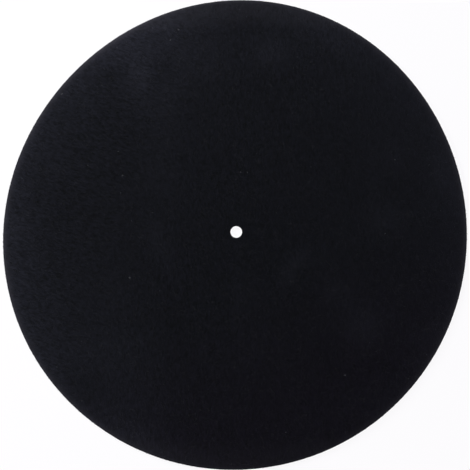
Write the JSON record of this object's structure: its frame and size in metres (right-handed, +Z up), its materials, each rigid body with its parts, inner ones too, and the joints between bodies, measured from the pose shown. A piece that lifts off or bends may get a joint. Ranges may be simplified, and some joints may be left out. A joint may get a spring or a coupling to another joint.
{
  "type": "turntable platter mat",
  "caption": "Flat round felt mat with a small central spindle hole, laid on a record player's platter to cushion and grip the record.",
  "frame": {"origin": "on the axis of the spindle hole, at the underside of the felt, where it rests on the platter", "axes": "+Z up along the spindle hole's axis, out of the face that carries the record; +X to the right and +Y to the top of the picture"},
  "size_m": [0.295, 0.295, 0.003],
  "materials": {
    "black_felt": "dead matt black pressed wool felt with a short nap and a faint blue-grey sheen"
  },
  "bodies": {
    "root": {"felt_mat": "black_felt"}
  },
  "joints": []
}
